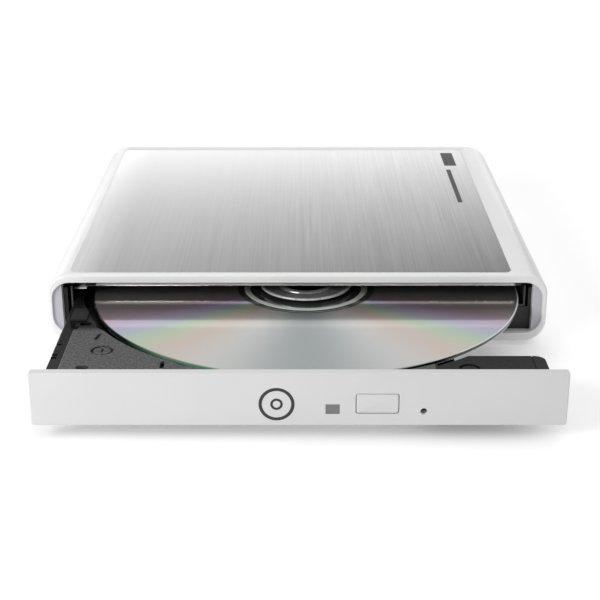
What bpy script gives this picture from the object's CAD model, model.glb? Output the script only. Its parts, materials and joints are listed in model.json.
"""The looks of an external optical drive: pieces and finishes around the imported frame. Metres, +Y back."""
import json
import math

import bmesh
import bpy
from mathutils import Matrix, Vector


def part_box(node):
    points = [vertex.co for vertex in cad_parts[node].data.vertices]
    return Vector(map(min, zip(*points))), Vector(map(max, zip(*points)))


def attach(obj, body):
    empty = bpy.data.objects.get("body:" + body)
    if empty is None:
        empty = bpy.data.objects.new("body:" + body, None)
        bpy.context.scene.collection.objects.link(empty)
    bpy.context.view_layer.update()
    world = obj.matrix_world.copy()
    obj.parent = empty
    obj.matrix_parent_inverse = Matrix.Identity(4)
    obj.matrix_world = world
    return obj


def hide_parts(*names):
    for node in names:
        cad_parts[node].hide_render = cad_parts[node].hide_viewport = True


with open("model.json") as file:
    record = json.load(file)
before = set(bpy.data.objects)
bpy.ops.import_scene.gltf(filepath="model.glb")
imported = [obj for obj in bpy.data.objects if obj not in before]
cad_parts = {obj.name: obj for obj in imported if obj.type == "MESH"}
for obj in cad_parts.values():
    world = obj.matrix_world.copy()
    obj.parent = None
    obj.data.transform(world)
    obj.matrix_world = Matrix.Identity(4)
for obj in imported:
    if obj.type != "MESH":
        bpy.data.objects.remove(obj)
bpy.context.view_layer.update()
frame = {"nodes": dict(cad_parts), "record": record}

MM = 0.001
NODES = frame["nodes"]
BODY_OF = {node: body for body, nodes in frame["record"]["behaviour"]["bodies"].items() for node in nodes}
STRIP_START = 33.8 * MM      # where the tray's textured deck gives way to its smooth right-hand strip
LID_FRONT = -62.9 * MM       # the drive's lid starts here, with a lip turned down
LIP_BOTTOM = 15.7 * MM       # the lip's lower edge
LIP_END = 61.0 * MM          # the lip ends here at the left and right
DECK_TOP = 14.0 * MM
DECK_BACK = -90.5 * MM       # behind here the tray's arm is smooth
PLATE_LIFT = 0.03 * MM       # the top plate stands this much proud of the case
SHARP_ANGLE = 32             # degrees between faces, from which their edge counts as sharp
UV_PER_METRE = 10            # scale of the disc's and the hub's UV map outwards
UV_TURN = 7                  # radians that fill the height of that map


def tone(red, green, blue):
    """A display colour, 0 to 255, as linear light."""
    def linear(value):
        share = value / 255
        return share / 12.92 if share <= 0.04045 else ((share + 0.055) / 1.055) ** 2.4
    return (linear(red), linear(green), linear(blue))


def grey(value):
    return tone(value, value, value)


# ---------- camera ----------

CAMERA_PLACE = (0.0007, -0.4086, 0.1490)
CAMERA_TILT = 21.71      # degrees below the horizon
CAMERA_LENS = 78.96
SENSOR = 36.0


def make_camera():
    data = bpy.data.cameras.new("camera")
    data.lens = CAMERA_LENS
    data.sensor_width = SENSOR
    data.dof.use_dof = False
    data.clip_start = 0.01
    data.clip_end = 50
    camera = bpy.data.objects.new("camera", data)
    camera.location = CAMERA_PLACE
    camera.rotation_euler = (math.radians(90 - CAMERA_TILT), 0, 0)
    bpy.context.scene.collection.objects.link(camera)
    bpy.context.scene.camera = camera


# ---------- node graphs ----------

class Finish:
    """A material under construction: a Principled shader with short calls for the nodes that feed it."""

    def __init__(self, name, colour, roughness, metallic=0.0):
        self.material = bpy.data.materials.new(name)
        self.material.use_nodes = True
        self.tree = self.material.node_tree
        self.shader = self.tree.nodes["Principled BSDF"]
        self.put("Base Color", (*colour, 1.0))
        self.put("Roughness", roughness)
        self.put("Metallic", metallic)
        self.colour = colour
        self.normal = None

    def put(self, socket, value):
        self.shader.inputs[socket].default_value = value

    def add(self, kind, **settings):
        node = self.tree.nodes.new(kind)
        for key, value in settings.items():
            setattr(node, key, value)
        return node

    def wire(self, source, node, socket):
        """Links an output, or sets a plain value."""
        if isinstance(source, bpy.types.NodeSocket):
            self.tree.links.new(source, node.inputs[socket])
        else:
            node.inputs[socket].default_value = source

    def feed(self, source, socket):
        self.tree.links.new(source, self.shader.inputs[socket])

    def place(self, stretch=(1, 1, 1), offset=(0, 0, 0)):
        """Object coordinates, in metres, multiplied by stretch and shifted."""
        coordinates = self.add("ShaderNodeTexCoord")
        mapping = self.add("ShaderNodeMapping")
        self.wire(coordinates.outputs["Object"], mapping, "Vector")
        mapping.inputs["Scale"].default_value = stretch
        mapping.inputs["Location"].default_value = offset
        return mapping.outputs["Vector"]

    def spot(self, offset=(0, 0, 0)):
        """The X, Y and Z of the place on the object, as three outputs."""
        parts = self.add("ShaderNodeSeparateXYZ")
        self.wire(self.place(offset=offset), parts, "Vector")
        return parts.outputs["X"], parts.outputs["Y"], parts.outputs["Z"]

    def noise(self, scale, detail=3.0, roughness=0.5, stretch=(1, 1, 1)):
        node = self.add("ShaderNodeTexNoise")
        self.wire(self.place(stretch), node, "Vector")
        node.inputs["Scale"].default_value = scale
        node.inputs["Detail"].default_value = detail
        node.inputs["Roughness"].default_value = roughness
        return node.outputs["Fac"]

    def cells(self, scale, feature="F1"):
        node = self.add("ShaderNodeTexVoronoi", feature=feature)
        self.wire(self.place(), node, "Vector")
        node.inputs["Scale"].default_value = scale
        return node.outputs["Distance"]

    def math(self, operation, a, b=0.0):
        node = self.add("ShaderNodeMath", operation=operation)
        self.wire(a, node, 0)
        self.wire(b, node, 1)
        return node.outputs[0]

    def remap(self, value, low, high, to_low, to_high):
        node = self.add("ShaderNodeMapRange")
        self.wire(value, node, "Value")
        limits = {"From Min": low, "From Max": high, "To Min": to_low, "To Max": to_high}
        for socket, number in limits.items():
            node.inputs[socket].default_value = number
        return node.outputs["Result"]

    def blend(self, factor, a, b):
        """Mixes two colours, each an output or a linear colour."""
        node = self.add("ShaderNodeMix", data_type="RGBA")
        self.wire(factor, node, 0)
        for index, value in ((6, a), (7, b)):
            self.wire(value if isinstance(value, bpy.types.NodeSocket) else (*value, 1.0), node, index)
        return node.outputs[2]

    def scaled(self, colour, factor):
        """A colour output times a factor output."""
        node = self.add("ShaderNodeVectorMath", operation="SCALE")
        self.wire(colour, node, "Vector")
        self.wire(factor, node, "Scale")
        return node.outputs["Vector"]

    def ramp(self, value, stops):
        node = self.add("ShaderNodeValToRGB")
        node.color_ramp.interpolation = "B_SPLINE"
        while len(node.color_ramp.elements) < len(stops):
            node.color_ramp.elements.new(0.5)
        for element, (position, colour) in zip(node.color_ramp.elements, stops):
            element.position = position
            element.color = (*colour, 1.0)
        self.wire(value, node, "Fac")
        return node.outputs["Color"]

    def bump(self, height, depth):
        """Adds relief, its depth in metres, on top of any before it."""
        node = self.add("ShaderNodeBump")
        node.inputs["Strength"].default_value = 1.0
        node.inputs["Distance"].default_value = depth
        self.wire(height, node, "Height")
        if self.normal is not None:
            self.wire(self.normal, node, "Normal")
        self.normal = node.outputs["Normal"]
        self.feed(self.normal, "Normal")

    def vary_colour(self, value, low, high, darker, lighter):
        """Scales the base colour from darker to lighter as value runs from low to high."""
        share = self.remap(value, low, high, 0.0, 1.0)
        dark = tuple(c * darker for c in self.colour)
        light = tuple(min(1.0, c * lighter) for c in self.colour)
        self.feed(self.blend(share, dark, light), "Base Color")

    def vary_roughness(self, value, low, high, to_low, to_high):
        self.feed(self.remap(value, low, high, to_low, to_high), "Roughness")


# ---------- finishes ----------

def moulded(name, colour, roughness, grain, grain_depth, sheen=0.0):
    """Moulded plastic: a fine spark-eroded grain, with slight variation in colour and in gloss."""
    finish = Finish(name, colour, roughness)
    finish.put("IOR", 1.49)
    finish.put("Specular IOR Level", 0.5)
    finish.put("Coat Weight", sheen)
    finish.put("Coat Roughness", 0.12)
    finish.vary_colour(finish.noise(38, 4), 0.3, 0.7, 0.975, 1.015)
    finish.vary_roughness(finish.noise(160, 5, 0.65), 0.25, 0.75, roughness - 0.05, roughness + 0.06)
    finish.bump(finish.noise(grain, 4, 0.6), grain_depth)
    return finish.material


def deck_plastic(name, colour):
    """Black tray plastic: a coarse eroded grain on the deck, smooth on its right strip and its arm."""
    finish = Finish(name, colour, 0.52)
    grain = finish.noise(1500, 5, 0.7)
    worn = finish.noise(60, 3)
    finish.put("IOR", 1.5)
    finish.put("Specular IOR Level", 0.2)
    x, y, z = finish.spot()
    left_of_strip = finish.remap(x, STRIP_START, STRIP_START + 0.4 * MM, 1.0, 0.0)
    ahead_of_waist = finish.remap(y, DECK_BACK - 1.5 * MM, DECK_BACK + 1.5 * MM, 1.0, 0.0)
    raised = finish.remap(z, DECK_TOP - 1.0 * MM, DECK_TOP - 0.6 * MM, 0.0, 1.0)
    coarse = finish.math("MULTIPLY", finish.math("MULTIPLY", left_of_strip, ahead_of_waist), raised)
    tip = finish.math("MULTIPLY", finish.remap(grain, 0.42, 0.68, 0.0, 1.0), coarse)
    pale = tuple(c * 2.8 for c in colour)
    smooth_tone = tuple(c * 0.09 for c in colour)
    ground = finish.blend(coarse, smooth_tone, colour)
    mottled = finish.blend(tip, ground, pale)
    rubbed = finish.math("MULTIPLY", finish.remap(worn, 0.4, 0.7, 0.0, 0.14), coarse)
    finish.feed(finish.blend(rubbed, mottled, grey(100)), "Base Color")
    finish.vary_roughness(grain, 0.3, 0.7, 0.62, 0.42)
    finish.bump(finish.math("MULTIPLY", grain, coarse), 0.06 * MM)
    return finish.material


def rubber(name, colour):
    finish = Finish(name, colour, 0.85)
    finish.put("Sheen Weight", 0.15)
    finish.vary_colour(finish.noise(300, 5), 0.3, 0.7, 0.8, 1.25)
    finish.bump(finish.noise(2600, 3), 0.02 * MM)
    return finish.material


def brushed_sheet(name, colour, roughness):
    """Metal with fine lines that run from front to back."""
    finish = Finish(name, colour, roughness, 1.0)
    lines = finish.noise(5200, 3, 0.6, (1, 0.012, 1))
    stains = finish.noise(45, 4)
    finish.vary_colour(lines, 0.25, 0.75, 0.86, 1.08)
    mix = finish.math("ADD", finish.math("MULTIPLY", lines, 0.6), finish.math("MULTIPLY", stains, 0.4))
    finish.vary_roughness(mix, 0.3, 0.7, roughness - 0.07, roughness + 0.1)
    finish.bump(lines, 0.002 * MM)
    return finish.material


def spangled_steel(name, colour, metallic):
    """Zinc-coated sheet: faint crystals and rolling lines, dulled by its passivated skin."""
    finish = Finish(name, colour, 0.38, metallic)
    crystals = finish.cells(330)
    lines = finish.noise(3000, 3, 0.5, (1, 0.02, 1))
    finish.vary_colour(crystals, 0.0, 0.9, 0.86, 1.08)
    mix = finish.math("ADD", finish.math("MULTIPLY", lines, 0.5), finish.math("MULTIPLY", crystals, 0.5))
    finish.vary_roughness(mix, 0.2, 0.8, 0.28, 0.5)
    finish.bump(lines, 0.001 * MM)
    return finish.material


def lid_steel(name, lip_colour, inside_colour):
    """The drive's zinc-coated lid: the low edge of its front lip is bright, the rest is dull."""
    finish = Finish(name, lip_colour, 0.38, 0.2)
    crystals = finish.cells(330)
    x, y, z = finish.spot()
    at_front = finish.remap(y, LID_FRONT + 0.5 * MM, LID_FRONT + 0.8 * MM, 1.0, 0.0)
    off_centre = finish.math("ABSOLUTE", x)
    clear_of_skirts = finish.remap(off_centre, LIP_END - 0.5 * MM, LIP_END + 0.5 * MM, 1.0, 0.0)
    low_down = finish.remap(z, LIP_BOTTOM + 0.5 * MM, LIP_BOTTOM + 1.0 * MM, 1.0, 0.0)
    on_lip = finish.math("MULTIPLY", finish.math("MULTIPLY", at_front, clear_of_skirts), low_down)
    sheet = finish.blend(on_lip, inside_colour, lip_colour)
    finish.feed(finish.scaled(sheet, finish.remap(crystals, 0.0, 0.9, 0.86, 1.08)), "Base Color")
    finish.vary_roughness(crystals, 0.0, 0.9, 0.3, 0.5)
    finish.bump(finish.noise(3000, 3, 0.5, (1, 0.02, 1)), 0.001 * MM)
    return finish.material


def machined(name, colour, roughness, scale=4000, metallic=1.0):
    """Turned or drawn metal with a fine even texture and a few dull patches."""
    finish = Finish(name, colour, roughness, metallic)
    fine = finish.noise(scale, 3, 0.6)
    patches = finish.noise(220, 4)
    finish.vary_colour(patches, 0.3, 0.7, 0.82, 1.06)
    finish.vary_roughness(patches, 0.3, 0.7, roughness - 0.06, roughness + 0.12)
    finish.bump(fine, 0.0015 * MM)
    return finish.material


def circuit_board(name, colour):
    """Solder mask over copper tracks, with the weave of the laminate below."""
    finish = Finish(name, colour, 0.32)
    finish.put("Coat Weight", 0.5)
    finish.put("Coat Roughness", 0.15)
    tracks = finish.cells(420, "DISTANCE_TO_EDGE")
    lanes = finish.remap(tracks, 0.04, 0.09, 1.0, 0.0)
    copper = tuple(c * 1.9 for c in colour)
    finish.feed(finish.blend(lanes, colour, copper), "Base Color")
    finish.vary_roughness(finish.noise(900, 4), 0.3, 0.7, 0.26, 0.42)
    finish.bump(lanes, 0.02 * MM)
    return finish.material


def chip_package(name, colour):
    finish = Finish(name, colour, 0.6)
    finish.vary_colour(finish.noise(900, 5), 0.3, 0.7, 0.8, 1.3)
    finish.vary_roughness(finish.noise(400, 3), 0.3, 0.7, 0.5, 0.72)
    finish.bump(finish.noise(6000, 2), 0.008 * MM)
    return finish.material


def film(name, colour):
    """Flat cable: a tinted film over parallel conductors."""
    finish = Finish(name, colour, 0.3)
    finish.put("Coat Weight", 0.6)
    wave = finish.add("ShaderNodeTexWave", bands_direction="X")
    finish.wire(finish.place(), wave, "Vector")
    wave.inputs["Scale"].default_value = 320
    finish.vary_colour(wave.outputs["Fac"], 0.2, 0.8, 0.75, 1.25)
    finish.vary_roughness(finish.noise(200, 3), 0.3, 0.7, 0.24, 0.4)
    finish.bump(wave.outputs["Fac"], 0.02 * MM)
    return finish.material


def winding(name, colour):
    """Enamelled copper turns."""
    finish = Finish(name, colour, 0.3, 1.0)
    finish.put("Coat Weight", 0.8)
    wave = finish.add("ShaderNodeTexWave", bands_direction="Z")
    finish.wire(finish.place(), wave, "Vector")
    wave.inputs["Scale"].default_value = 1600
    finish.vary_colour(wave.outputs["Fac"], 0.2, 0.8, 0.55, 1.15)
    finish.vary_roughness(finish.noise(700, 3), 0.3, 0.7, 0.24, 0.42)
    finish.bump(wave.outputs["Fac"], 0.04 * MM)
    return finish.material


def lens_glass(name):
    finish = Finish(name, tone(150, 170, 205), 0.03)
    finish.put("Transmission Weight", 0.75)
    finish.put("IOR", 1.6)
    finish.put("Coat Weight", 1.0)
    finish.vary_colour(finish.noise(500, 2), 0.3, 0.7, 0.9, 1.1)
    finish.vary_roughness(finish.noise(800, 2), 0.3, 0.7, 0.02, 0.06)
    return finish.material


def smoked_window(name, colour):
    """The indicator's window: a dull translucent grey."""
    finish = Finish(name, colour, 0.4)
    finish.put("Subsurface Weight", 0.2)
    finish.put("Subsurface Radius", (0.001, 0.001, 0.001))
    finish.vary_colour(finish.noise(700, 4), 0.3, 0.7, 0.92, 1.06)
    finish.vary_roughness(finish.noise(500, 3), 0.3, 0.7, 0.34, 0.5)
    finish.bump(finish.noise(3500, 3), 0.008 * MM)
    return finish.material


PLATE_LIGHT = grey(228)
PLATE_DARK = grey(150)
PLATE_POLISH = grey(250)
POLISH_WIDTH = 13 * MM
PLATE_FALLOFF = 1.6          # power of the plate's gradients


def brushed_plate(name):
    """Satin plate brushed from front to back. It is darker towards its front right corner, where the
    brushing also shows more, and polished bright along its left edge."""
    finish = Finish(name, PLATE_LIGHT, 0.34, 1.0)
    finish.put("Anisotropic", 0.75)
    tangent = finish.add("ShaderNodeTangent", direction_type="UV_MAP", uv_map="across")
    finish.feed(tangent.outputs["Tangent"], "Tangent")
    fine = finish.noise(5200, 2, 0.6, (1, 0.006, 1))
    broad = finish.noise(1700, 3, 0.65, (1, 0.006, 1))
    low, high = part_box("top_plate")
    x, y, _ = finish.spot()
    right = finish.remap(x, low.x, high.x, 0.0, 1.0)
    front = finish.remap(y, high.y, low.y, 0.0, 1.0)
    toward_front = finish.math("POWER", front, PLATE_FALLOFF)
    shade = finish.math("MULTIPLY", toward_front, finish.remap(right, 0.0, 1.0, 0.36, 1.0))
    at_left = finish.remap(x, low.x, low.x + POLISH_WIDTH, 1.0, 0.0)
    polished = finish.math("POWER", at_left, PLATE_FALLOFF)
    base = finish.blend(polished, finish.blend(shade, PLATE_LIGHT, PLATE_DARK), PLATE_POLISH)
    lines = finish.math("ADD", finish.math("MULTIPLY", fine, 0.5), finish.math("MULTIPLY", broad, 0.5))
    swing = finish.remap(lines, 0.3, 0.7, -0.2, 0.2)
    toward_corner = finish.math("ADD", finish.math("MULTIPLY", right, 0.6),
                                finish.math("MULTIPLY", front, 0.4))
    amount = finish.remap(toward_corner, 0.2, 0.8, 0.15, 1.0)
    streak = finish.math("ADD", finish.math("MULTIPLY", swing, amount), 1.0)
    finish.feed(finish.scaled(base, streak), "Base Color")
    finish.vary_roughness(lines, 0.3, 0.7, 0.28, 0.40)
    finish.bump(fine, 0.0004 * MM)
    return finish.material


def polished_edge(name):
    """The cut edge of the plate."""
    finish = Finish(name, grey(235), 0.3, 0.35)
    finish.vary_colour(finish.noise(900, 3), 0.3, 0.7, 0.92, 1.04)
    finish.vary_roughness(finish.noise(2500, 3), 0.3, 0.7, 0.22, 0.4)
    return finish.material


# Colours of the fans round the disc: degrees away from its front-to-back line, and the tint there
FANS = (
    (0, tone(178, 187, 187)),
    (8, tone(186, 194, 194)),
    (16, tone(216, 220, 219)),
    (24, tone(236, 236, 234)),
    (31, tone(240, 234, 226)),
    (38, tone(244, 220, 210)),
    (44, tone(230, 228, 204)),
    (50, tone(204, 234, 198)),
    (54, tone(200, 214, 220)),
    (58, tone(206, 202, 232)),
    (63, tone(206, 184, 212)),
    (67, tone(192, 164, 178)),
    (74, tone(188, 178, 170)),
    (90, tone(174, 184, 178)),
)


def disc_layer(name, centre):
    """The disc's metal layer under its clear skin: circular tracks, and soft fans of colour round the hub."""
    finish = Finish(name, grey(215), 0.1, 0.8)
    finish.put("Anisotropic", 0.8)
    finish.put("Coat Weight", 1.0)
    finish.put("Coat Roughness", 0.015)
    finish.put("Coat IOR", 1.55)
    tangent = finish.add("ShaderNodeTangent", direction_type="UV_MAP", uv_map="across")
    finish.feed(tangent.outputs["Tangent"], "Tangent")
    x, y, _ = finish.spot(offset=(-centre.x, -centre.y, 0))
    across = finish.math("ABSOLUTE", x)
    along = finish.math("ABSOLUTE", y)
    angle = finish.math("ARCTAN2", across, along)
    share = finish.math("MULTIPLY", angle, 2 / math.pi)
    fans = finish.ramp(share, [(degrees / 90, colour) for degrees, colour in FANS])
    radius = finish.math("POWER", finish.math("ADD", finish.math("POWER", across, 2.0),
                                               finish.math("POWER", along, 2.0)), 0.5)
    rings = finish.add("ShaderNodeTexNoise", noise_dimensions="1D")
    finish.wire(finish.math("MULTIPLY", radius, 900.0), rings, "W")
    rings.inputs["Detail"].default_value = 3
    banding = finish.remap(rings.outputs["Fac"], 0.3, 0.7, 0.0, 0.06)
    finish.feed(finish.blend(banding, fans, grey(150)), "Base Color")
    finish.vary_roughness(rings.outputs["Fac"], 0.3, 0.7, 0.07, 0.13)
    return finish.material


EDGE_DARK = tone(18, 26, 22)
EDGE_GLOW = tone(104, 140, 115)


def disc_edge(name, centre, right_side):
    """The clear edge of the disc: nearly black, with a green glow at the front left and its own tone at the
    right."""
    finish = Finish(name, EDGE_DARK, 0.08)
    finish.put("IOR", 1.58)
    x, y, _ = finish.spot(offset=(-centre.x, -centre.y, 0))
    glow_begins = finish.remap(x, -47 * MM, -36 * MM, 0.0, 1.0)
    glow_ends = finish.remap(x, -14 * MM, 2 * MM, 1.0, 0.0)
    in_front = finish.remap(y, -20 * MM, -30 * MM, 0.0, 1.0)
    glow = finish.math("MULTIPLY", finish.math("MULTIPLY", glow_begins, glow_ends), in_front)
    left_side = finish.blend(glow, EDGE_DARK, EDGE_GLOW)
    at_right = finish.remap(x, 10 * MM, 40 * MM, 0.0, 1.0)
    finish.feed(finish.blend(at_right, left_side, right_side), "Base Color")
    finish.vary_roughness(finish.noise(600, 3), 0.3, 0.7, 0.05, 0.12)
    return finish.material


def clear_plastic(name, colour, transmission):
    """Glossy polycarbonate, clear where it has transmission and solid where it has none."""
    finish = Finish(name, colour, 0.05)
    finish.put("Transmission Weight", transmission)
    finish.put("IOR", 1.58)
    finish.vary_colour(finish.noise(150, 2), 0.3, 0.7, 0.93, 1.05)
    finish.vary_roughness(finish.noise(600, 3), 0.3, 0.7, 0.03, 0.09)
    return finish.material


# ---------- mesh helpers ----------

def add_piece(name, mesh, body, slot, *nodes):
    """Links a mesh as a piece that rides on a body and stands for the CAD nodes named."""
    piece = bpy.data.objects.new(name, mesh)
    bpy.context.scene.collection.objects.link(piece)
    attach(piece, body)
    if nodes:
        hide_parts(*nodes)
    return piece


def smooth(mesh, angle=SHARP_ANGLE):
    """Smooth shading that breaks at edges sharper than angle, in degrees."""
    mesh.polygons.foreach_set("use_smooth", [True] * len(mesh.polygons))
    mesh.set_sharp_from_angle(angle=math.radians(angle))


def soft_edges(piece, width):
    modifier = piece.modifiers.new("soft_edges", "BEVEL")
    modifier.width = width
    modifier.segments = 2
    modifier.limit_method = "ANGLE"
    modifier.angle_limit = math.radians(SHARP_ANGLE)
    modifier.harden_normals = True
    modifier.use_clamp_overlap = True


def finished_copy(node, slot, material, width):
    """The node's own form as one welded mesh with its edges broken, standing for the node."""
    name = node + "_body"
    bm = bmesh.new()
    bm.from_mesh(NODES[node].data)
    bmesh.ops.remove_doubles(bm, verts=bm.verts, dist=0.002 * MM)
    nearly_flat = math.radians(0.6)
    bmesh.ops.dissolve_limit(bm, angle_limit=nearly_flat, verts=bm.verts, edges=bm.edges)
    mesh = bpy.data.meshes.new(name)
    bm.to_mesh(mesh)
    bm.free()
    mesh.materials.append(material)
    smooth(mesh)
    piece = add_piece(name, mesh, BODY_OF[node], slot, node)
    soft_edges(piece, width)


def rounded_outline(half_width, low, high, radius, steps):
    """Points of a rounded rectangle in (across, up), anticlockwise from the lower right corner."""
    points = []
    bottom = low + radius
    top = high - radius
    for side, up, start in ((1, bottom, -90), (1, top, 0), (-1, top, 90), (-1, bottom, 180)):
        for step in range(steps + 1):
            angle = math.radians(start + 90 * step / steps)
            across = side * (half_width - radius) + radius * math.cos(angle)
            points.append((across, up + radius * math.sin(angle)))
    return points


def bridge_loops(bm, loops, materials=None):
    """Joins each closed loop of vertices to the next with quads."""
    for index, (first, second) in enumerate(zip(loops, loops[1:])):
        count = len(first)
        for k in range(count):
            face = bm.faces.new((first[k], first[(k + 1) % count], second[(k + 1) % count], second[k]))
            if materials:
                face.material_index = materials[index]


def lathe(name, centre, profile, steps, zones, materials):
    """Turns a profile of (radius, height) about an upright axis. zones gives each span's material.
    The UV map named across runs out from the axis."""
    bm = bmesh.new()
    across = bm.loops.layers.uv.new("across")
    loops = []
    for radius, height in profile:
        loop = []
        for step in range(steps):
            angle = 2 * math.pi * step / steps
            loop.append(bm.verts.new((centre.x + radius * math.cos(angle),
                                      centre.y + radius * math.sin(angle), height)))
        loops.append(loop)
    bridge_loops(bm, loops, zones)
    for face in bm.faces:
        middle = face.calc_center_median()
        heading = math.atan2(middle.y - centre.y, middle.x - centre.x)
        for corner in face.loops:
            offset = corner.vert.co - centre
            turn = math.atan2(offset.y, offset.x) - heading
            turn = (turn + math.pi) % (2 * math.pi) - math.pi
            outwards = math.hypot(offset.x, offset.y) * UV_PER_METRE
            corner[across].uv = (outwards, (heading + turn) / UV_TURN + 0.5)
    bm.normal_update()
    mesh = bpy.data.meshes.new(name)
    bm.to_mesh(mesh)
    bm.free()
    for material in materials:
        mesh.materials.append(material)
    return mesh


# ---------- case ----------

OUTLINE_STEPS = 14
EDGE_STEPS = 6


def make_front_frame(material, cheek_material):
    """The ring round the opening: rounded outer edge, sunk cheeks and the opening itself. Each outline is
    half its width, its lowest and highest point and its corner radius."""
    outer_low, outer_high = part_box("front_frame")
    front = outer_low.y
    back = outer_high.y
    half = outer_high.x
    radius = 6.2 * MM
    opening_low = 3.88 * MM
    opening_high = 18.88 * MM
    opening = (65.5 * MM, opening_low, opening_high, 0.5 * MM)
    cheek = (68.2 * MM, opening_low, opening_high, 5.0 * MM)

    def outer(inset):
        return (half - inset, outer_low.z + inset, outer_high.z - inset, radius - inset)

    def grown(shape, by):
        half_width, low, high, corner = shape
        return (half_width + by, low - by, high + by, corner + by)

    edge = 0.9 * MM
    sections = [(outer(0), back)]
    for step in range(EDGE_STEPS + 1):
        angle = math.pi / 2 * step / EDGE_STEPS
        sections.append((outer(edge * (1 - math.cos(angle))), front + edge * (1 - math.sin(angle))))
    sunk = front + 0.8 * MM
    soft = 0.08 * MM
    sharp = 0.05 * MM
    sections += [(grown(cheek, soft), front), (cheek, front + soft)]
    sections += [(cheek, sunk - soft), (grown(cheek, -soft), sunk)]
    sections += [(grown(opening, sharp), sunk), (opening, sunk + sharp), (opening, back)]
    bm = bmesh.new()
    loops = []
    for (half_width, low, high, corner), y in sections:
        outline = rounded_outline(half_width, low, high, corner, OUTLINE_STEPS)
        loops.append([bm.verts.new((x, y, z)) for x, z in outline])
    loops.append(loops[0])
    cheek_floor = len(sections) - 4      # the flat span between the cheek's foot and the opening
    bridge_loops(bm, loops, [int(index == cheek_floor) for index in range(len(sections))])
    bmesh.ops.recalc_face_normals(bm, faces=bm.faces)
    mesh = bpy.data.meshes.new("front_ring")
    bm.to_mesh(mesh)
    bm.free()
    mesh.materials.append(material)
    mesh.materials.append(cheek_material)
    smooth(mesh, angle=40)
    add_piece("front_ring", mesh, "case", "case_white", "front_frame")


def make_top_plate(face_material, edge_material):
    """The brushed plate with a polished chamfer round its top edge, filled out to the edge of its recess."""
    low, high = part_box("top_plate")
    fill = Vector((0.08, 0.08, 0)) * MM
    low -= fill
    high += fill + Vector((0, 0, PLATE_LIFT))
    chamfer = 0.1 * MM
    radius = 2.2 * MM
    corner_steps = 10
    face_zone, edge_zone = range(2)
    middle = Vector(((low.x + high.x) / 2, (low.y + high.y) / 2, 0))
    half = Vector(((high.x - low.x) / 2, (high.y - low.y) / 2, 0))
    bm = bmesh.new()
    across = bm.loops.layers.uv.new("across")

    def loop_at(inset, z):
        reach = half.y - inset
        outline = rounded_outline(half.x - inset, -reach, reach, radius - inset, corner_steps)
        return [bm.verts.new((middle.x + x, middle.y + y, z)) for x, y in outline]

    loops = [loop_at(0, low.z), loop_at(0, high.z - chamfer), loop_at(chamfer / 2, high.z - chamfer / 2),
             loop_at(chamfer, high.z)]
    bridge_loops(bm, loops, [edge_zone] * 3)
    bm.faces.new(loops[-1]).material_index = face_zone
    bm.faces.new(list(reversed(loops[0]))).material_index = edge_zone
    plate_uv_scale = 5
    for face in bm.faces:
        for corner in face.loops:
            spot = corner.vert.co * plate_uv_scale
            corner[across].uv = (spot.x + 0.5, spot.y + 0.5)
    mesh = bpy.data.meshes.new("brushed_top_plate")
    bm.to_mesh(mesh)
    bm.free()
    mesh.materials.append(face_material)
    mesh.materials.append(edge_material)
    smooth(mesh, angle=20)
    add_piece("brushed_top_plate", mesh, "case", "brushed_plate", "top_plate")


def make_lip_roll(material):
    """The rolled lower edge of the lid's front lip, across the width of the opening."""
    low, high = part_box("chassis_top")
    radius = 0.17 * MM
    left = low.x + 8.0 * MM
    right = high.x - 4.0 * MM
    rounding = 0.1 * MM
    middle_y = LID_FRONT + 0.12 * MM
    middle_z = LIP_BOTTOM + 0.08 * MM
    steps = 12
    angles = [2 * math.pi * step / steps for step in range(steps)]
    bm = bmesh.new()
    loops = []
    widths = ((left, radius / 2), (left + rounding, radius), (right - rounding, radius), (right, radius / 2))
    for x, size in widths:
        circle = [(x, middle_y + size * math.cos(a), middle_z + size * math.sin(a)) for a in angles]
        loops.append([bm.verts.new(point) for point in circle])
    bridge_loops(bm, loops)
    bm.faces.new(loops[0])
    bm.faces.new(list(reversed(loops[-1])))
    bmesh.ops.recalc_face_normals(bm, faces=bm.faces)
    mesh = bpy.data.meshes.new("lid_lip_roll")
    bm.to_mesh(mesh)
    bm.free()
    mesh.materials.append(material)
    smooth(mesh, angle=50)
    add_piece("lid_lip_roll", mesh, "case", "chassis_steel")


# ---------- printed marks ----------

INK = 0.02 * MM              # thickness of a print


def printed_mark(name, prints, lift, body, material):
    """A thin print, as thick as lift. A pair of loops makes a ring, and a single loop a solid patch."""
    bm = bmesh.new()
    for loops in prints:
        outer, *hole = loops
        low = [bm.verts.new(point) for point in outer]
        high = [bm.verts.new(point + lift) for point in outer]
        if hole:
            inner_high = [bm.verts.new(point + lift) for point in hole[0]]
            inner_low = [bm.verts.new(point) for point in hole[0]]
            bridge_loops(bm, (low, high, inner_high, inner_low, low))
        else:
            bridge_loops(bm, (low, high))
            bm.faces.new(high)
            bm.faces.new(list(reversed(low)))
    bmesh.ops.recalc_face_normals(bm, faces=bm.faces)
    mesh = bpy.data.meshes.new(name)
    bm.to_mesh(mesh)
    bm.free()
    mesh.materials.append(material)
    add_piece(name, mesh, body, "black_plastic")


def make_disc_mark(material):
    """A plain picture of a disc, printed on the bezel: its edge and its hole."""
    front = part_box("tray_bezel")[0].y
    centre = Vector((-4.9 * MM, front, 9.8 * MM))
    steps = 64

    def circle(radius):
        angles = [2 * math.pi * step / steps for step in range(steps)]
        return [centre + Vector((radius * math.cos(a), 0, radius * math.sin(a))) for a in angles]

    edge_ring = (circle(4.3 * MM), circle(3.5 * MM))
    hole_ring = (circle(1.5 * MM), circle(0.9 * MM))
    printed_mark("disc_mark", (edge_ring, hole_ring), Vector((0, -INK, 0)), "tray", material)


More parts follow.
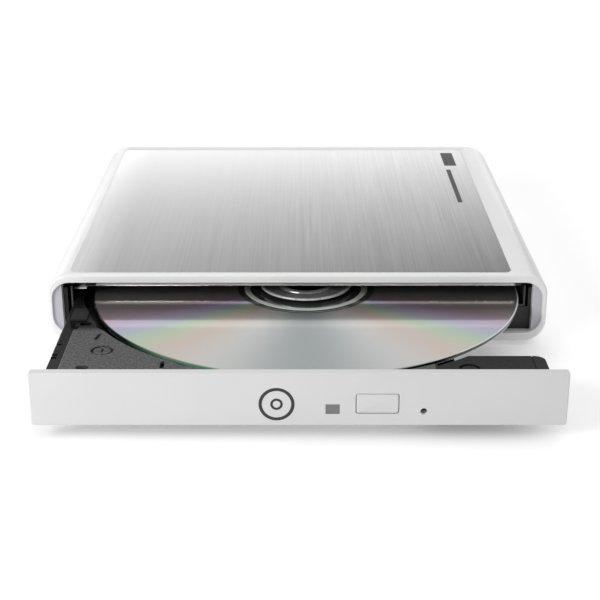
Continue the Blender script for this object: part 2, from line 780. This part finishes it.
def make_plate_marks(material):
    """Two plain bars printed along the right edge of the top plate, near the back."""
    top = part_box("top_plate")[1].z + PLATE_LIFT
    left = 51.7 * MM

    def bar(width, front, back):
        corners = ((left, front), (left + width, front), (left + width, back), (left, back))
        return [[Vector((x, y, top)) for x, y in corners]]

    bars = (bar(4.2 * MM, 40.5 * MM, 57.2 * MM), bar(1.5 * MM, -2.5 * MM, 35.5 * MM))
    printed_mark("plate_marks", bars, Vector((0, 0, INK)), "case", material)


# ---------- disc and hub ----------

DISC_STEPS = 256
HUB_STEPS = 96


def disc_centre():
    low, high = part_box("disc")
    return Vector(((low.x + high.x) / 2, (low.y + high.y) / 2, 0))


def make_disc(layer, hub_zone, edge_wall, edge_line, stack_ring):
    """The disc: dark hub zone with its pale stacking ring, metal layer, pale outer rim and dark edge."""
    low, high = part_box("disc")
    top = high.z
    bottom = low.z
    edge = (high.x - low.x) / 2
    hole = 7.5 * MM
    stack_start = 15.8 * MM
    stack_end = 17.5 * MM
    stack_slope = 0.25 * MM
    layer_start = 19.4 * MM
    layer_end = 59.6 * MM
    layer_spans = 6
    soft = 0.12 * MM
    metal, dark, wall, light, ring = range(5)
    profile = [(hole, bottom + soft), (hole, top - soft), (hole + soft, top), (stack_start, top)]
    zones = [dark] * 3
    profile += [(stack_start + stack_slope, top + soft), (stack_end - stack_slope, top + soft),
                (stack_end, top)]
    zones += [ring] * 3
    profile += [(layer_start - 0.9 * MM, top), (layer_start - 0.75 * MM, top - 0.08 * MM),
                (layer_start - 0.6 * MM, top), (layer_start, top)]
    zones += [dark] * 4
    span = (layer_end - layer_start) / layer_spans
    profile += [(layer_start + span * k, top) for k in range(1, layer_spans + 1)]
    zones += [metal] * layer_spans
    profile += [(edge - 0.14 * MM, top), (edge - 0.04 * MM, top - 0.05 * MM), (edge, top - 0.16 * MM)]
    zones += [light] * 3
    profile += [(edge, bottom + 0.34 * MM), (edge - 0.08 * MM, bottom + 0.08 * MM),
                (edge - 0.18 * MM, bottom)]
    zones += [wall, light, light]
    profile += [(layer_end, bottom), (layer_start, bottom), (hole + soft, bottom), (hole, bottom + soft)]
    zones += [light, metal, dark, dark]
    mesh = lathe("optical_disc", disc_centre(), profile, DISC_STEPS, zones,
                 (layer, hub_zone, edge_wall, edge_line, stack_ring))
    smooth(mesh, angle=25)
    add_piece("optical_disc", mesh, "spindle", "disc_mirror", "disc")


def make_hub_cap(rim, dish, recess, glossy):
    """The cap on the hub: bright rolled rim, satin dish, and a bead round its dark recess with a low dome."""
    low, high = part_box("hub_cap")
    outer = (high.x - low.x) / 2
    inner = 7.2 * MM
    base = low.z
    top = high.z
    dish_z = base + 0.3 * MM
    floor = base + 0.12 * MM
    bead = 0.8 * MM
    bead_steps = 8
    pole = 0.05 * MM
    rim_zone, dish_zone, recess_zone, bead_zone = range(4)
    profile = [(outer - 0.5 * MM, base), (outer - 0.15 * MM, base + 0.05 * MM), (outer, base + 0.2 * MM),
               (outer, top - 0.2 * MM), (outer - 0.06 * MM, top - 0.06 * MM), (outer - 0.25 * MM, top),
               (outer - 0.7 * MM, top - 0.04 * MM), (outer - 0.95 * MM, top - 0.12 * MM)]
    zones = [rim_zone] * 7
    profile.append((inner + bead, dish_z))
    zones.append(dish_zone)
    for step in range(1, bead_steps + 1):
        angle = math.pi * step / bead_steps
        profile.append((inner + bead * math.cos(angle), dish_z + bead * 0.7 * math.sin(angle)))
        zones.append(bead_zone)
    profile += [(inner - bead - 0.1 * MM, floor), (2.8 * MM, floor), (2.5 * MM, floor + 0.12 * MM)]
    profile += [(1.8 * MM, floor + 0.22 * MM), (0.8 * MM, floor + 0.26 * MM), (pole, floor + 0.27 * MM)]
    zones += [recess_zone] * 6
    profile += [(pole, base), (outer - 0.5 * MM, base)]
    zones += [recess_zone, dish_zone]
    mesh = lathe("hub_cap_shell", disc_centre(), profile, HUB_STEPS, zones, (rim, dish, recess, glossy))
    smooth(mesh, angle=30)
    add_piece("hub_cap_shell", mesh, "spindle", "hub_metal", "hub_cap")


# ---------- light and floor ----------

FLOOR_GLOW = 0.2
FLOOR_HALF = 4.0


def make_floor():
    """A pale light table, so that the ground stays white while the white case keeps its tone."""
    bm = bmesh.new()
    bmesh.ops.create_grid(bm, x_segments=2, y_segments=2, size=FLOOR_HALF)
    mesh = bpy.data.meshes.new("floor")
    bm.to_mesh(mesh)
    bm.free()
    finish = Finish("studio_floor", (0.9, 0.9, 0.9), 0.6)
    finish.put("Specular IOR Level", 0.15)
    finish.put("Emission Color", (1.0, 1.0, 1.0, 1.0))
    finish.put("Emission Strength", FLOOR_GLOW)
    finish.vary_colour(finish.noise(3, 2), 0.3, 0.7, 0.995, 1.0)
    mesh.materials.append(finish.material)
    floor = bpy.data.objects.new("floor", mesh)
    bpy.context.scene.collection.objects.link(floor)


def area_light(name, place, target, size, power):
    data = bpy.data.lights.new(name, "AREA")
    data.shape = "RECTANGLE"
    data.size, data.size_y = size
    data.energy = power
    light = bpy.data.objects.new(name, data)
    light.location = place
    light.rotation_euler = (Vector(target) - Vector(place)).to_track_quat("-Z", "Y").to_euler()
    light.visible_camera = False
    bpy.context.scene.collection.objects.link(light)


WORLD_LEVEL = 0.26


def make_light():
    """Even white surroundings, a key at the front left, a wide soft light overhead, a low strip and a panel
    behind the object for it to mirror, and a weak fill in front."""
    world = bpy.data.worlds.new("studio")
    world.use_nodes = True
    background = world.node_tree.nodes["Background"]
    background.inputs["Color"].default_value = (1.0, 1.0, 1.0, 1.0)
    background.inputs["Strength"].default_value = WORLD_LEVEL
    bpy.context.scene.world = world
    area_light("key", place=(-0.28, -0.32, 0.2), target=(0.0, -0.12, 0.01), size=(0.2, 0.16), power=1.0)
    area_light("overhead", place=(0.24, 0.1, 0.9), target=(0, 0, 0), size=(1.7, 1.3), power=8.0)
    area_light("back_strip", place=(-0.12, 0.62, 0.09), target=(0, 0, 0.02), size=(0.9, 0.16), power=0.9)
    area_light("back_panel", place=(0.0, 0.9, 0.56), target=(0, -0.1, 0.02), size=(1.5, 0.42), power=0.6)
    area_light("front_fill", place=(0.1, -0.85, 0.12), target=(0, -0.06, 0.01), size=(0.7, 0.12), power=0.55)
    bpy.context.scene.view_settings.view_transform = "Standard"
    bpy.context.scene.view_settings.look = "None"


# ---------- assembly ----------

def make_finishes():
    """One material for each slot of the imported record."""
    return {
        "case_white": moulded("case_white_plastic", grey(226), 0.38, 1800, 0.004 * MM, 0.1),
        "bezel_white": moulded("bezel_plastic", grey(202), 0.5, 2600, 0.012 * MM),
        "brushed_plate": brushed_sheet("plate_back", grey(205), 0.34),
        "glue": rubber("glue_film", tone(190, 180, 150)),
        "black_plastic": moulded("carrier_plastic", grey(30), 0.5, 2200, 0.02 * MM),
        "foot_rubber": rubber("foot_rubber", grey(60)),
        "screw_steel": machined("screw_steel", grey(120), 0.32),
        "board_green": circuit_board("board_mask", tone(32, 92, 52)),
        "chip_black": chip_package("chip_package", grey(44)),
        "tinned_steel": machined("tinned_steel", grey(205), 0.24),
        "connector_black": moulded("connector_plastic", grey(34), 0.45, 2400, 0.015 * MM),
        "chassis_steel": spangled_steel("chassis_sheet", grey(214), 0.2),
        "spring_steel": machined("spring_wire", grey(170), 0.28),
        "cable_film": film("cable_film", tone(196, 128, 52)),
        "tray_plastic": deck_plastic("tray_deck", grey(62)),
        "lens_grey": smoked_window("indicator_window", grey(110)),
        "solenoid_black": moulded("coil_body", grey(42), 0.5, 2400, 0.02 * MM),
        "polished_steel": machined("shaft_steel", grey(212), 0.1),
        "motor_steel": machined("motor_can", grey(178), 0.24),
        "copper_winding": winding("copper_turns", tone(184, 98, 52)),
        "hub_plastic": moulded("hub_plastic", grey(48), 0.4, 2600, 0.01 * MM),
        "hub_metal": machined("hub_metal", grey(150), 0.3),
        "disc_mirror": clear_plastic("disc_clear", tone(215, 222, 218), 0.9),
        "sled_metal": machined("sled_casting", grey(132), 0.48, 1600),
        "lens_glass": lens_glass("objective_glass"),
    }


def dress_nodes(finishes):
    """Gives every CAD node that stays the finish of its slot."""
    for node in NODES.values():
        for index, old in enumerate(node.data.materials):
            node.data.materials[index] = finishes[old.name.split(".")[0]]


SHEET_EDGE = 0.08 * MM

# Mouldings whose own form is kept: slot, and width of their soft edges in millimetres
SOFTENED = {
    "top_cover": ("case_white", 0.15),
    "bottom_cover": ("case_white", 0.15),
    "tray_bezel": ("bezel_white", 0.12),
    "eject_button": ("bezel_white", 0.08),
    "tray": ("tray_plastic", 0.12),
    "inner_frame": ("black_plastic", 0.15),
}


def make_case(finishes):
    cheek_satin = moulded("cheek_satin", tone(184, 184, 190), 0.45, 2200, 0.006 * MM)
    make_front_frame(finishes["case_white"], cheek_satin)
    make_top_plate(brushed_plate("plate_face"), polished_edge("plate_chamfer"))
    for node, (slot, width) in SOFTENED.items():
        finished_copy(node, slot, finishes[slot], width * MM)


def make_drive_sheet():
    """The drive's lid with its rolled lip, and the pan below it."""
    lid_sheet = lid_steel("lid_sheet", grey(238), grey(56))
    finished_copy("chassis_top", "chassis_steel", lid_sheet, SHEET_EDGE)
    pan_sheet = spangled_steel("pan_sheet", grey(62), 0.5)
    finished_copy("chassis_bottom", "chassis_steel", pan_sheet, SHEET_EDGE)
    make_lip_roll(machined("rolled_edge", grey(238), 0.22))


def make_marks():
    ink = moulded("printed_ink", grey(38), 0.5, 2600, 0.002 * MM)
    make_disc_mark(ink)
    make_plate_marks(ink)


def make_disc_and_hub():
    centre = disc_centre()
    layer = disc_layer("disc_layer", centre)
    hub_zone = machined("disc_hub_zone", tone(112, 120, 116), 0.09, metallic=0.85)
    edge_wall = disc_edge("disc_edge_wall", centre, EDGE_DARK)
    edge_line = disc_edge("disc_edge_line", centre, tone(205, 212, 208))
    stack_ring = clear_plastic("disc_stack_ring", tone(172, 176, 170), 0.0)
    make_disc(layer, hub_zone, edge_wall, edge_line, stack_ring)
    rim = machined("hub_rim", grey(215), 0.25, metallic=0.4)
    dish = machined("hub_dish", grey(120), 0.42, metallic=0.4)
    recess = clear_plastic("hub_recess", grey(14), 0.0)
    bead = machined("hub_bead", grey(170), 0.2, metallic=0.7)
    make_hub_cap(rim, dish, recess, bead)


def make_object():
    finishes = make_finishes()
    dress_nodes(finishes)
    make_case(finishes)
    make_drive_sheet()
    make_marks()
    make_disc_and_hub()


make_camera()
make_light()
make_floor()
make_object()
